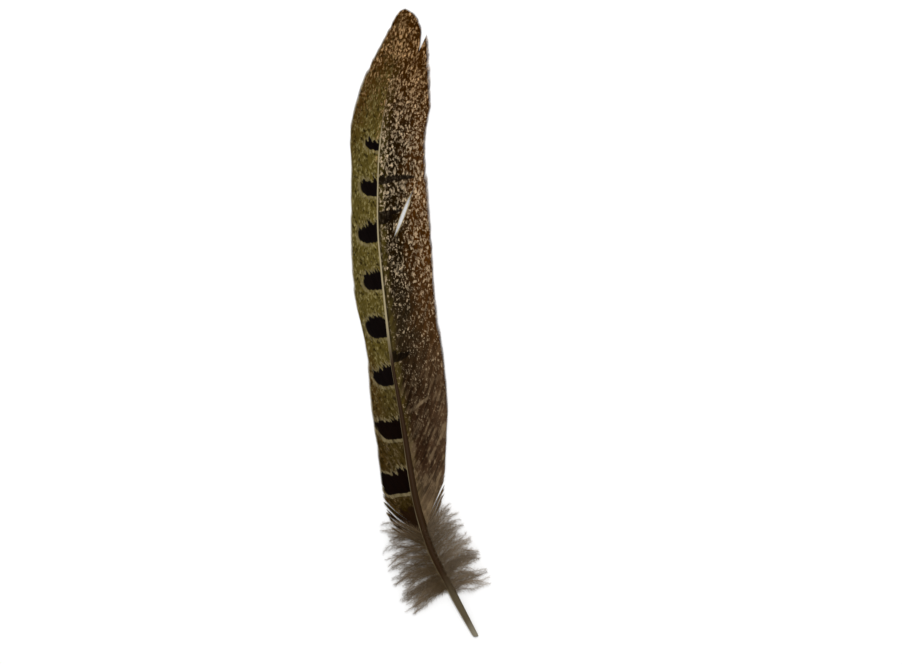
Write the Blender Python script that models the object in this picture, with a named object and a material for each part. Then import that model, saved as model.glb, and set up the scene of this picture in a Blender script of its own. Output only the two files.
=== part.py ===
"""Tail feather of a pheasant, lying on a flat surface with its upper side up.

It grew as one piece, so it is one closed solid: a shaft that tapers from the quill
to the tip, two vanes made of locks of barbs, and locks of down at the base.

Lengths are in metres. A place on the feather is written as (along, across): along
follows the shaft from the end of the quill, and across is measured square to the
shaft, positive on the wide vane. The finished feather points along +Y.
"""

import math

import bmesh
import bpy
import numpy as np
from mathutils import Vector

UP = Vector((0, 0, 1))
LEFT, RIGHT = -1, 1

# Driving dimensions
LENGTH = 0.200  # quill end to tip, in a straight line
COURSE_SAMPLES = 401  # places at which the shaft's course is worked out
BOX_MIDDLE = Vector((-0.0101, 0.100, 0))  # middle of the feather's box, seen from the quill end
SHEET = 0.0004  # thickness of a vane
LOCKS = 30  # locks of barbs on each vane
DOWN_LOCKS = 9  # locks of down on each side

# Course of the shaft: (distance towards the tip, distance to the right)
SHAFT_BOW = [
    (0.0, 0.0),
    (0.0154, -0.0061),
    (0.0316, -0.0117),
    (0.0482, -0.0143),
    (0.0687, -0.0153),
    (0.0980, -0.0168),
    (0.1249, -0.0166),
    (0.1501, -0.0141),
    (0.1719, -0.0092),
    (0.1896, -0.0028),
    (LENGTH, 0.0),
]

# Along the shaft: its radius, and how far its underside stands off the surface
SHAFT_RADIUS = [
    (0.0, 0.00085),
    (0.012, 0.0012),
    (0.027, 0.0014),
    (0.042, 0.00135),
    (0.066, 0.0010),
    (0.084, 0.0007),
    (0.110, 0.0005),
    (0.145, 0.00042),
    (0.196, 0.0003),
]
SHAFT_LIFT = [
    (0.0, 0.0),
    (0.012, 0.0),
    (0.030, 0.0006),
    (0.060, 0.0019),
    (0.105, 0.0029),
    (0.135, 0.0025),
    (0.170, 0.0012),
    (0.193, 0.0002),
    (0.205, 0.0001),
]
SHAFT_SIDES = 8
SHAFT_STEP = 0.005
SHAFT_END = 0.1965  # beyond it the shaft is thinner than the vanes
QUILL_CUT = math.radians(24)  # slant of the quill's blunt end

# Along the shaft: how far each vane reaches across, and how far up a barb ends
EDGE = {
    LEFT: [
        (0.038, 0.0084),
        (0.044, 0.0104),
        (0.058, 0.0097),
        (0.078, 0.0092),
        (0.097, 0.0077),
        (0.116, 0.0095),
        (0.140, 0.0086),
        (0.153, 0.0087),
        (0.165, 0.0100),
        (0.178, 0.0088),
        (0.190, 0.0063),
        (0.199, 0.0037),
        (0.2035, 0.0016),
        (0.2047, 0.0),
    ],
    RIGHT: [
        (0.038, 0.0042),
        (0.047, 0.0088),
        (0.062, 0.0123),
        (0.078, 0.0154),
        (0.095, 0.0166),
        (0.112, 0.0162),
        (0.131, 0.0169),
        (0.147, 0.0161),
        (0.160, 0.0146),
        (0.168, 0.0142),
        (0.174, 0.0145),
        (0.183, 0.0129),
        (0.194, 0.0094),
        (0.198, 0.0080),
        (0.2047, 0.0),
    ],
}
REACH = {
    LEFT: [
        (0.030, 0.009),
        (0.036, 0.011),
        (0.046, 0.017),
        (0.062, 0.022),
        (0.100, 0.025),
        (0.150, 0.025),
        (0.180, 0.017),
        (0.200, 0.0047),
    ],
    RIGHT: [
        (0.030, 0.009),
        (0.036, 0.0115),
        (0.046, 0.018),
        (0.060, 0.027),
        (0.080, 0.035),
        (0.100, 0.038),
        (0.130, 0.036),
        (0.150, 0.0325),
        (0.1734, 0.0245),
        (0.200, 0.0047),
    ],
}
# The wide vane is torn near the tip: barbs that grow above this place end further in
NOTCH_ROOT = 0.1734
NOTCHED_EDGE = [
    (0.1927, 0.0067),
    (0.1977, 0.0064),
    (0.2004, 0.0057),
    (0.2034, 0.0033),
    (0.2047, 0.0),
]
NOTCHED_REACH = [(0.1734, 0.0193), (0.181, 0.0188), (0.190, 0.013), (0.200, 0.0047)]
SPLINTER_SPLIT = 0.84  # part of a barb below which the tear is closed

# One slit, held shut at both ends, stands open between two locks of the wide vane
SLIT_ROOT = 0.1205
SLIT_WIDTH = 0.0011
SLIT_ANGLE = math.radians(22)  # angle of the barbs beside the slit to the shaft

FIRST_ROOT, LAST_ROOT = 0.032, 0.200
BARB_BEND = 0.06  # how far a barb bows outwards, as part of its reach
LOCK_STATIONS = [0, 0.16, 0.33, 0.51, 0.69, 0.83]
SLIT_STATION = 3
MIDDLE_STATIONS = [*LOCK_STATIONS, 0.93]  # along the middle of a lock, short of its point
SPLIT = {LEFT: (0.96, 0.91), RIGHT: (0.97, 0.93)}  # where a narrow and a deep split begin
DEEP_EVERY = 4  # every fourth split is a deep one
LOCK_RIDGE = 0.00018  # a lock's middle stands this far above its sides
SEAM = 1e-6  # corners closer than this along the shaft are one

# Height of the vanes
EDGE_HEIGHT = {LEFT: 0.0003, RIGHT: 0.0006}
DROOP = 1.7  # power of the vane's curve from the shaft down to its edge
CROWN = 0.0004  # how far a vane first bulges upwards
FULL_WIDTH = 0.008  # a vane narrower than this bulges less
SEAT = 0.3  # the vanes leave the shaft this part of its radius above its middle

# Down
DOWN_ROOTS = (0.0165, 0.0335)
DOWN_LENGTH = {LEFT: (0.0125, 0.0160), RIGHT: (0.0100, 0.0130)}
DOWN_SPREAD = (math.radians(82), math.radians(48))  # angle to the shaft, lowest and highest lock
DOWN_CURL = math.radians(-34)  # turn of a lock towards the quill, root to tip
DOWN_RISE = 0.0016
DOWN_TIP_HEIGHT = (0.0006, 0.0022)
DOWN_WAVE = 2.4  # step of the wave by which the locks differ in length and height
DOWN_WIDTH = [(0, 0.0006), (0.35, 0.0013), (0.7, 0.0014), (1, 0.0003)]
DOWN_FLATNESS = 0.45
DOWN_STEPS = 7
DOWN_SIDES = 6


def through(points, at):
    """Values at the given places of a smooth curve that doesn't overshoot its points."""
    x, y = np.transpose(points)
    rise = np.diff(y) / np.diff(x)
    slope = np.zeros(len(x))
    slope[0], slope[-1] = rise[0], rise[-1]
    level = rise[:-1] * rise[1:] <= 0
    total = np.where(level, 1, rise[:-1] + rise[1:])
    slope[1:-1] = np.where(level, 0, 2 * rise[:-1] * rise[1:] / total)
    at = np.clip(at, x[0], x[-1])
    i = np.clip(np.searchsorted(x, at, side="right") - 1, 0, len(x) - 2)
    gap = x[i + 1] - x[i]
    t = (at - x[i]) / gap
    return (
        (1 + 2 * t) * (1 - t) ** 2 * y[i]
        + t * (1 - t) ** 2 * gap * slope[i]
        + t**2 * (3 - 2 * t) * y[i + 1]
        + t**2 * (t - 1) * gap * slope[i + 1]
    )


def shaft_course():
    """Distances along the shaft, with the (x, y) there and the direction, all finely spaced."""
    y = np.linspace(0, LENGTH, COURSE_SAMPLES)
    x = through(SHAFT_BOW, y)
    along = np.concatenate([[0], np.cumsum(np.hypot(np.diff(x), np.diff(y)))])
    turn = np.arctan2(np.gradient(x), np.gradient(y))
    return along, x, y, turn


COURSE_ALONG, COURSE_X, COURSE_Y, COURSE_TURN = shaft_course()


def heading(along):
    """Angle of the shaft to +Y, clockwise from above."""
    return np.interp(along, COURSE_ALONG, COURSE_TURN)


def plan(along, across):
    """(x, y) of a place on the feather."""
    turn = heading(along)
    x = np.interp(along, COURSE_ALONG, COURSE_X) + across * np.cos(turn)
    y = np.interp(along, COURSE_ALONG, COURSE_Y) - across * np.sin(turn)
    return x, y


def shaft_radius(along):
    return through(SHAFT_RADIUS, along)


def shaft_height(along):
    """Height of the shaft's middle line, whose underside is a flat facet."""
    return through(SHAFT_LIFT, along) + shaft_radius(along) * math.cos(math.pi / SHAFT_SIDES)


def vane_height(along, across):
    """Height of a vane: it bulges a little beside the shaft and droops to its edge."""
    side = RIGHT if across > 0 else LEFT
    seat = shaft_height(along) + SEAT * shaft_radius(along)
    width = max(through(EDGE[side], along), SHEET)
    part = min(abs(across) / width, 1)
    crown = CROWN * math.sin(math.pi * part) * min(width / FULL_WIDTH, 1)
    return seat - (seat - EDGE_HEIGHT[side]) * part**DROOP + crown



def barb_place(side, root, part):
    """(along, across) of a place on the barb that grows at root, part 0 to 1 of its length."""
    torn = side == RIGHT and root > NOTCH_ROOT
    end = root + through(NOTCHED_REACH if torn else REACH[side], root)
    width = through(NOTCHED_EDGE if torn else EDGE[side], end)
    bend = 2 * part * (1 - part)
    along = root + (bend * (0.5 - BARB_BEND) + part**2) * (end - root)
    across = (bend * (0.5 + BARB_BEND) + part**2) * width
    return along, side * across


def on_vane(side, root, part, shift=0.0, lift=0.0):
    """Point on the vane, moved along the shaft by shift and upwards by lift."""
    along, across = barb_place(side, root, part)
    x, y = plan(along + shift, across)
    return Vector((x, y, vane_height(along, across) + lift)) - BOX_MIDDLE


def lock_roots():
    """Where the locks part at the shaft: evenly, but for the slit and the tear."""
    roots = np.linspace(FIRST_ROOT, LAST_ROOT, LOCKS + 1)
    for special in (SLIT_ROOT, NOTCH_ROOT):
        roots[np.abs(roots - special).argmin()] = special
    return roots


def split_part(side, number, roots):
    """Part of the barb at which the locks on both sides of it come apart."""
    if number == LOCKS:
        return 1
    if side == RIGHT and roots[number] == NOTCH_ROOT:
        return SPLINTER_SPLIT
    narrow, deep = SPLIT[side]
    return deep if number % DEEP_EVERY == DEEP_EVERY - 1 else narrow


def vane_locks(bm, side):
    """Adds one vane as a sheet: locks of barbs that share their sides and end in points."""
    roots = lock_roots()
    lower_sides, upper_sides = [], []
    for number, root in enumerate(roots):
        parts = [*LOCK_STATIONS, split_part(side, number, roots)]
        shared = [bm.verts.new(on_vane(side, root, part)) for part in parts]
        lower, upper = list(shared), list(shared)
        if side == RIGHT and root == SLIT_ROOT:
            for edge, shift in ((lower, 0.5), (upper, -0.5)):
                away = shift * SLIT_WIDTH / math.sin(SLIT_ANGLE)
                edge[SLIT_STATION] = bm.verts.new(
                    on_vane(side, root, LOCK_STATIONS[SLIT_STATION], away)
                )
            bm.verts.remove(shared[SLIT_STATION])
        lower_sides.append(lower)
        upper_sides.append(upper)
    for number in range(LOCKS):
        below, above = lower_sides[number], upper_sides[number + 1]
        middle_root = (roots[number] + roots[number + 1]) / 2
        middle = [
            bm.verts.new(on_vane(side, middle_root, part, lift=LOCK_RIDGE * (part > 0)))
            for part in MIDDLE_STATIONS
        ]
        splinter = side == RIGHT and roots[number + 1] == NOTCH_ROOT
        tip = bm.verts.new(on_vane(side, NOTCH_ROOT if splinter else middle_root, 1))
        for row in range(len(middle) - 1):
            bm.faces.new((below[row], below[row + 1], middle[row + 1], middle[row]))
            bm.faces.new((middle[row], middle[row + 1], above[row + 1], above[row]))
        bm.faces.new((below[-1], tip, middle[-1]))
        bm.faces.new((middle[-1], tip, above[-1]))



def ring(bm, centre, forward, half_width, half_height, sides):
    """Corners of a section square to forward, with a flat side underneath."""
    across = forward.cross(UP).normalized()
    up = across.cross(forward)
    corners = []
    for corner in range(sides):
        angle = (corner + 0.5) * math.tau / sides
        offset = across * half_width * math.sin(angle) - up * half_height * math.cos(angle)
        corners.append(bm.verts.new(centre + offset))
    return corners


def skin(bm, rings):
    """Closes a run of sections into a solid with flat ends."""
    for first, second in zip(rings, rings[1:]):
        for i in range(len(first)):
            j = (i + 1) % len(first)
            bm.faces.new((first[i], first[j], second[j], second[i]))
    bm.faces.new(rings[0])
    bm.faces.new(rings[-1])


def shaft(bm):
    """The quill and the shaft, an eight-sided tube that tapers to the tip."""
    rings = []
    for along in np.linspace(0, SHAFT_END, round(SHAFT_END / SHAFT_STEP) + 1):
        turn = heading(along) + (QUILL_CUT if along == 0 else 0)
        forward = Vector((math.sin(turn), math.cos(turn), 0))
        centre = Vector((*plan(along, 0), shaft_height(along))) - BOX_MIDDLE
        radius = shaft_radius(along)
        rings.append(ring(bm, centre, forward, radius, radius, SHAFT_SIDES))
    skin(bm, rings)


def down_lock(bm, side, number):
    """A tuft of down: it leaves the shaft sideways, curls to the quill and sinks to its tip."""
    part = number / (DOWN_LOCKS - 1)
    wave = math.sin(DOWN_WAVE * number + side)
    root = DOWN_ROOTS[0] + part * (DOWN_ROOTS[1] - DOWN_ROOTS[0])
    shortest, longest = DOWN_LENGTH[side]
    length = shortest + (longest - shortest) * (0.5 + 0.5 * wave)
    spread = DOWN_SPREAD[0] + part * (DOWN_SPREAD[1] - DOWN_SPREAD[0])
    tip_height = DOWN_TIP_HEIGHT[0] + (DOWN_TIP_HEIGHT[1] - DOWN_TIP_HEIGHT[0]) * (0.5 - 0.5 * wave)
    start_height = shaft_height(root)
    place = Vector((*plan(root, 0), 0)) - BOX_MIDDLE
    rings = []
    for step in range(DOWN_STEPS + 1):
        t = step / DOWN_STEPS
        turn = heading(root) + side * (spread - DOWN_CURL * t)
        forward = Vector((math.sin(turn), math.cos(turn), 0))
        height = start_height + (tip_height - start_height) * t + DOWN_RISE * math.sin(math.pi * t)
        half_width = through(DOWN_WIDTH, t)
        centre = place + UP * height
        rings.append(ring(bm, centre, forward, half_width, half_width * DOWN_FLATNESS, DOWN_SIDES))
        place = place + forward * length / DOWN_STEPS
    skin(bm, rings)


def finish(bm, name):
    """Turns the faces outwards and makes a smooth-shaded object."""
    bmesh.ops.recalc_face_normals(bm, faces=bm.faces)
    mesh = bpy.data.meshes.new(name)
    bm.to_mesh(mesh)
    bm.free()
    mesh.shade_smooth()
    feature = bpy.data.objects.new(name, mesh)
    bpy.context.scene.collection.objects.link(feature)
    return feature


def make_material(name, color, roughness):
    material = bpy.data.materials.new(name)
    material.use_nodes = True
    shader = material.node_tree.nodes["Principled BSDF"]
    shader.inputs["Base Color"].default_value = (*color, 1)
    shader.inputs["Roughness"].default_value = roughness
    shader.inputs["Metallic"].default_value = 0
    return material


def make_vanes():
    """Both vanes as one sheet, joined along the shaft and given their thickness."""
    bm = bmesh.new()
    for side in (LEFT, RIGHT):
        vane_locks(bm, side)
    bmesh.ops.remove_doubles(bm, verts=bm.verts, dist=SEAM)
    vanes = finish(bm, "feather")
    thickness = vanes.modifiers.new("vane thickness", "SOLIDIFY")
    thickness.thickness = SHEET
    thickness.offset = 0
    vanes.data.materials.append(make_material("vane brown", (0.09, 0.055, 0.027), 0.6))
    return vanes


def make_fused(name, color, roughness, build):
    """A hidden solid that the vanes are fused with."""
    bm = bmesh.new()
    build(bm)
    fused = finish(bm, name)
    fused.hide_render = True
    fused.display_type = "WIRE"
    fused.data.materials.append(make_material(name, color, roughness))
    return fused


def fuse(feather, others):
    for other in others:
        union = feather.modifiers.new("fuse " + other.name, "BOOLEAN")
        union.operation = "UNION"
        union.solver = "EXACT"
        union.material_mode = "TRANSFER"
        union.object = other


def main():
    for old in list(bpy.data.objects):
        bpy.data.objects.remove(old)
    feather = make_vanes()
    others = [make_fused("shaft", (0.16, 0.12, 0.08), 0.35, shaft)]
    for side, word in ((LEFT, "left"), (RIGHT, "right")):
        for number in range(DOWN_LOCKS):
            name = f"{word} down {number + 1}"
            others.append(
                make_fused(
                    name,
                    (0.24, 0.20, 0.16),
                    0.8,
                    lambda bm, side=side, number=number: down_lock(bm, side, number),
                )
            )
    fuse(feather, others)


main()
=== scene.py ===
"""Looks of a pheasant tail feather: a horn shaft, two barbed vanes and the down at the base.

Lengths are in metres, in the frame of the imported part. A place on the feather is written
as (along, across): along follows the shaft from the end of the quill, and across is measured
square to the shaft, positive on the wide vane.
"""

import math
from functools import partialmethod

import bmesh
import bpy
import numpy as np
from bpy.props import FloatProperty, FloatVectorProperty, IntProperty, PointerProperty
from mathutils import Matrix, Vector


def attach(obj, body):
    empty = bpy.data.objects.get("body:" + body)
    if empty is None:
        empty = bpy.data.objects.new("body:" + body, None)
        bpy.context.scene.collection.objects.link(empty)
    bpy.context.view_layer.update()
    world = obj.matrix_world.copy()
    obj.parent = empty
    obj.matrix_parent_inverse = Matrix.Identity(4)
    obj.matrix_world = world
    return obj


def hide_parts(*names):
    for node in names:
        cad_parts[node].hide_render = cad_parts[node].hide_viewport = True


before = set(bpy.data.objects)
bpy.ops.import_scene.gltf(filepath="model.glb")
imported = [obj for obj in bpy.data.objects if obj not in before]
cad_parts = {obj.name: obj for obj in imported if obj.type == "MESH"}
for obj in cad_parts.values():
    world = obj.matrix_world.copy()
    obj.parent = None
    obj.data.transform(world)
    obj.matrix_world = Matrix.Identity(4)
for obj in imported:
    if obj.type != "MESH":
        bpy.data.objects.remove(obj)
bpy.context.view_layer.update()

bl_info = {
    "name": "Tail feather",
    "version": (1, 0, 0),
    "blender": (4, 5, 0),
    "location": "View3D > Sidebar > Feather",
    "description": "Makes the shaft, vanes and down of a barred tail feather",
    "category": "Mesh",
}

LEFT, RIGHT = -1, 1
SIDE_WORDS = {LEFT: "narrow", RIGHT: "wide"}
MM = 0.001

# Driving dimensions, which the solid has too. Points are (along, distance) pairs, but for those
# of SHAFT_BOW, which are (y, x) from the quill's end.
LENGTH = 0.200
BOX_MIDDLE = np.array((-0.0101, 0.100, 0.0))  # of the feather's box, from the quill's end
COURSE_SAMPLES = 401  # places at which the shaft's course is worked out
SHAFT_BOW = [
    (0.0, 0.0), (0.0154, -0.0061), (0.0316, -0.0117), (0.0482, -0.0143), (0.0687, -0.0153),
    (0.0980, -0.0168), (0.1249, -0.0166), (0.1501, -0.0141), (0.1719, -0.0092),
    (0.1896, -0.0028), (LENGTH, 0.0),
]
SHAFT_RADIUS = [
    (0.0, 0.00085), (0.012, 0.0012), (0.027, 0.0014), (0.042, 0.00135), (0.066, 0.0010),
    (0.084, 0.0007), (0.110, 0.0005), (0.145, 0.00042), (0.196, 0.0003),
]
SHAFT_LIFT = [
    (0.0, 0.0), (0.012, 0.0), (0.030, 0.0006), (0.060, 0.0019), (0.105, 0.0029),
    (0.135, 0.0025), (0.170, 0.0012), (0.193, 0.0002), (0.205, 0.0001),
]
FLAT_UNDER = math.cos(math.pi / 8)  # the solid's shaft has eight sides, one of them below
EDGE = {
    LEFT: [
        (0.038, 0.0084), (0.044, 0.0104), (0.058, 0.0097), (0.078, 0.0092), (0.097, 0.0077),
        (0.116, 0.0095), (0.140, 0.0086), (0.153, 0.0087), (0.165, 0.0100), (0.178, 0.0088),
        (0.190, 0.0063), (0.199, 0.0037), (0.2035, 0.0016), (0.2047, 0.0),
    ],
    RIGHT: [
        (0.038, 0.0042), (0.047, 0.0088), (0.062, 0.0123), (0.078, 0.0154), (0.095, 0.0166),
        (0.112, 0.0162), (0.131, 0.0169), (0.147, 0.0161), (0.160, 0.0146), (0.168, 0.0142),
        (0.174, 0.0145), (0.183, 0.0129), (0.194, 0.0094), (0.198, 0.0080), (0.2047, 0.0),
    ],
}
REACH = {
    LEFT: [
        (0.030, 0.009), (0.036, 0.011), (0.046, 0.017), (0.062, 0.022), (0.100, 0.025),
        (0.150, 0.025), (0.180, 0.017), (0.200, 0.0047),
    ],
    RIGHT: [
        (0.030, 0.009), (0.036, 0.0115), (0.046, 0.018), (0.060, 0.027), (0.080, 0.035),
        (0.100, 0.038), (0.130, 0.036), (0.150, 0.0325), (0.1734, 0.0245), (0.200, 0.0047),
    ],
}
NOTCH_ROOT = 0.1734
NOTCHED_EDGE = [
    (0.1927, 0.0067), (0.1977, 0.0064), (0.2004, 0.0057), (0.2034, 0.0033), (0.2047, 0.0),
]
NOTCHED_REACH = [(0.1734, 0.0193), (0.181, 0.0188), (0.190, 0.013), (0.200, 0.0047)]
SLIT_ROOT = 0.1205
FIRST_ROOT, LAST_ROOT = 0.032, 0.2035
LOCKS = 30
LOCK_ROOTS = (0.032, 0.200)
BARB_BEND = 0.06  # how far a barb bows outwards, as part of its reach
EDGE_HEIGHT = {LEFT: 0.0003, RIGHT: 0.0006}
DROOP = 1.7  # power of the vane's curve from the shaft down to its edge
CROWN = 0.0004  # how far a vane first bulges upwards
FULL_WIDTH = 0.008  # a vane narrower than this bulges less
NARROWEST = 0.0004  # a vane is never taken as narrower than this
SEAT = 0.3  # the vanes leave the shaft this part of its radius above its middle

# Framing of the photograph: two places on the feather and the picture's size, in its pixels
PHOTO_SIZE = (902, 664)
QUILL_PIXEL = (476.0, 636.0)
TIP_PIXEL = (405.0, 8.5)
LENS = 85

FLOOR_HALF = 1.5
ROOM_LIGHT = 0.56
LAMP_PLACE = (0.12, 0.22, 0.92)
LAMP_WIDTH, LAMP_POWER = 0.4, 6.5


def linear(code):
    """Scene-linear colour of a screen colour written as six hexadecimal digits."""
    parts = [int(code[i : i + 2], 16) / 255 for i in (0, 2, 4)]
    return tuple(p / 12.92 if p <= 0.04045 else ((p + 0.055) / 1.055) ** 2.4 for p in parts)


def through(points, at):
    """Values at the given places of a smooth curve that doesn't overshoot its points."""
    x, y = np.transpose(points)
    rise = np.diff(y) / np.diff(x)
    slope = np.zeros(len(x))
    slope[0], slope[-1] = rise[0], rise[-1]
    level = rise[:-1] * rise[1:] <= 0
    total = np.where(level, 1, rise[:-1] + rise[1:])
    slope[1:-1] = np.where(level, 0, 2 * rise[:-1] * rise[1:] / total)
    at = np.clip(at, x[0], x[-1])
    i = np.clip(np.searchsorted(x, at, side="right") - 1, 0, len(x) - 2)
    gap = x[i + 1] - x[i]
    t = (at - x[i]) / gap
    return (
        (1 + 2 * t) * (1 - t) ** 2 * y[i]
        + t * (1 - t) ** 2 * gap * slope[i]
        + t**2 * (3 - 2 * t) * y[i + 1]
        + t**2 * (t - 1) * gap * slope[i + 1]
    )


def shaft_course():
    """Distances along the shaft, with the (x, y) there and the direction, all finely spaced."""
    y = np.linspace(0, LENGTH, COURSE_SAMPLES)
    x = through(SHAFT_BOW, y)
    along = np.concatenate([[0], np.cumsum(np.hypot(np.diff(x), np.diff(y)))])
    turn = np.arctan2(np.gradient(x), np.gradient(y))
    return along, x, y, turn


COURSE_ALONG, COURSE_X, COURSE_Y, COURSE_TURN = shaft_course()


def heading(along):
    """Angle of the shaft to +Y, clockwise from above."""
    return np.interp(along, COURSE_ALONG, COURSE_TURN)


def spot(along, across, height):
    """Points in the part's frame, one row for each place."""
    turn = heading(along)
    x = np.interp(along, COURSE_ALONG, COURSE_X) + across * np.cos(turn)
    y = np.interp(along, COURSE_ALONG, COURSE_Y) - across * np.sin(turn)
    return np.stack(np.broadcast_arrays(x, y, height), -1) - BOX_MIDDLE


def shaft_height(along):
    """Height of the shaft's middle line."""
    return through(SHAFT_LIFT, along) + through(SHAFT_RADIUS, along) * FLAT_UNDER


def vane_height(side, along, across):
    """Height of a vane: it bulges a little beside the shaft and droops to its edge."""
    seat = shaft_height(along) + SEAT * through(SHAFT_RADIUS, along)
    width = np.maximum(through(EDGE[side], along), NARROWEST)
    part = np.minimum(np.abs(across) / width, 1)
    crown = CROWN * np.sin(np.pi * part) * np.minimum(width / FULL_WIDTH, 1)
    return seat - (seat - EDGE_HEIGHT[side]) * part**DROOP + crown


def barb_ends(side, roots):
    """Places where the barbs that grow at these roots end: beyond the tear, further in."""
    torn = (side == RIGHT) & (roots > NOTCH_ROOT)
    end = roots + np.where(torn, through(NOTCHED_REACH, roots), through(REACH[side], roots))
    width = np.where(torn, through(NOTCHED_EDGE, end), through(EDGE[side], end))
    return end, width


def barb_controls(side, roots):
    """The three (along, across) controls of each barb's curve."""
    end, width = barb_ends(side, roots)
    bend = roots + (0.5 - BARB_BEND) * (end - roots)
    start = np.stack([roots, np.zeros_like(roots)], -1)
    middle = np.stack([bend, side * (0.5 + BARB_BEND) * width], -1)
    return start, middle, np.stack([end, side * width], -1)


def on_barb(controls, part):
    """(along, across) at these parts, 0 to 1, of the barbs with these controls."""
    part = np.asarray(part)[:, None]
    return (
        (1 - part) ** 2 * controls[0]
        + 2 * part * (1 - part) * controls[1]
        + part**2 * controls[2]
    )


def cubic_controls(points):
    """Controls of the cubic curves that pass through four points each, a third apart."""
    a, b, c, d = points
    return a, (-5 * a + 18 * b - 9 * c + 2 * d) / 6, (2 * a - 9 * b + 18 * c - 5 * d) / 6, d


def smooth_noise(random, count, reach):
    """Random numbers from 0 to 1 in which near neighbours are alike."""
    kernel = np.hanning(2 * reach + 3)[1:-1]
    rough = np.convolve(random.normal(size=count + len(kernel)), kernel, "same")[:count]
    return 0.5 + 0.5 * np.tanh(0.8 * rough / np.sqrt((kernel**2).sum()))


class Wire:
    """A socket in a node tree. Arithmetic on it adds the nodes for the sum."""

    def __init__(self, nodes, socket):
        self.nodes, self.socket = nodes, socket

    def compute(self, operation, *others):
        values = [self, *others]
        vector = any(is_vector(value) for value in values)
        kind = "ShaderNodeVectorMath" if vector else "ShaderNodeMath"
        if operation == "SCALE":
            values = {0: self, "Scale": others[0]}
        else:
            values = dict(enumerate(values))
        return self.nodes.add(kind, {"operation": operation}, values)[0]

    __add__ = __radd__ = partialmethod(compute, "ADD")
    __sub__ = partialmethod(compute, "SUBTRACT")
    __truediv__ = partialmethod(compute, "DIVIDE")
    __pow__ = partialmethod(compute, "POWER")
    __abs__ = partialmethod(compute, "ABSOLUTE")
    least = partialmethod(compute, "MINIMUM")
    most = partialmethod(compute, "MAXIMUM")

    def __rsub__(self, other):
        return self * -1 + other

    def __mul__(self, other):
        if is_vector(self) and not is_vector(other):
            return self.compute("SCALE", other)
        if is_vector(other) and not is_vector(self):
            return other.compute("SCALE", self)
        return self.compute("MULTIPLY", other)

    __rmul__ = __mul__

    def parts(self):
        """The three numbers of a vector."""
        split = self.nodes.add("ShaderNodeSeparateXYZ", {}, {"Vector": self})
        return split[0], split[1], split[2]

    def step(self, low, high):
        """0 at low, 1 at high and a smooth change between, whichever of them is the larger."""
        sockets = {"Value": self, "From Min": low, "From Max": high}
        if low > high:
            sockets.update({"From Min": high, "From Max": low, "To Min": 1.0, "To Max": 0.0})
        settings = {"interpolation_type": "SMOOTHSTEP"}
        return self.nodes.add("ShaderNodeMapRange", settings, sockets)[0]


def is_vector(value):
    if isinstance(value, Wire):
        return value.socket.type in ("VECTOR", "RGBA")
    return isinstance(value, (tuple, list, Vector))


class Outputs:
    """The output sockets of a node, by number, name or identifier."""

    def __init__(self, nodes, node):
        self.nodes, self.node = nodes, node

    def __getitem__(self, key):
        return Wire(self.nodes, find_socket(self.node.outputs, key))


def find_socket(sockets, key):
    if isinstance(key, int):
        return sockets[key]
    for socket in sockets:
        if socket.identifier == key:
            return socket
    return sockets[key]


class Nodes:
    """Adds nodes to a tree: the settings first, then the values and links of the sockets."""

    def __init__(self, tree):
        self.tree = tree

    def add(self, kind, settings=None, sockets=None):
        node = self.tree.nodes.new(kind)
        for name, value in (settings or {}).items():
            if name == "curve":
                set_curve(node.mapping, value)
            else:
                setattr(node, name, value)
        for key, value in (sockets or {}).items():
            socket = find_socket(node.inputs, key)
            if isinstance(value, Wire):
                self.tree.links.new(value.socket, socket)
            else:
                socket.default_value = value
        return Outputs(self, node)

    def layers(self, color, *coats):
        """Colour with coats over it, each a colour and the share of it that shows."""
        for coat, share in coats:
            sockets = {"Factor_Float": share, "A_Color": opaque(color), "B_Color": opaque(coat)}
            color = self.add("ShaderNodeMix", {"data_type": "RGBA"}, sockets)["Result_Color"]
        return color

    def read(self, name, output="Fac"):
        """A value that the mesh holds at its points."""
        settings = {"attribute_type": "GEOMETRY", "attribute_name": name}
        return self.add("ShaderNodeAttribute", settings)[output]

    def vector(self, x, y, z=0.0):
        return self.add("ShaderNodeCombineXYZ", {}, {0: x, 1: y, 2: z})[0]

    def noise(self, vector, scale, detail=2.0, roughness=0.5):
        sockets = {"Vector": vector, "Scale": scale, "Detail": detail, "Roughness": roughness}
        return self.add("ShaderNodeTexNoise", {}, sockets)["Fac"]


def opaque(color):
    return color if isinstance(color, Wire) else (*color, 1.0)


def set_curve(mapping, points):
    """Gives a curve node straight runs between these points."""
    curve = mapping.curves[0]
    while len(curve.points) > 2:
        curve.points.remove(curve.points[1])
    curve.points[0].location = points[0]
    curve.points[-1].location = points[-1]
    for place in points[1:-1]:
        curve.points.new(*place)
    for point in curve.points:
        point.handle_type = "VECTOR"
    mapping.update()


def new_material(name):
    """An empty material: its Nodes, and its shader's node."""
    material = bpy.data.materials.new(name)
    material.use_nodes = True
    shader = material.node_tree.nodes["Principled BSDF"]
    return material, Nodes(material.node_tree), shader


def feed(nodes, shader, **values):
    """Links or sets the shader's sockets, whose names are given with _ for a space."""
    for name, value in values.items():
        socket = shader.inputs[name.replace("_", " ")]
        if isinstance(value, Wire):
            nodes.tree.links.new(value.socket, socket)
        else:
            socket.default_value = value


def link_object(name, data):
    thing = bpy.data.objects.new(name, data)
    bpy.context.scene.collection.objects.link(thing)
    return thing


def dress(piece):
    """Makes a piece stand for the feather's solid."""
    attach(piece, "root")
    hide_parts("feather")


SEED_ONLY = ("course_", "place_", "width_", "spread", "sway")  # no finished mesh keeps these


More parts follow.
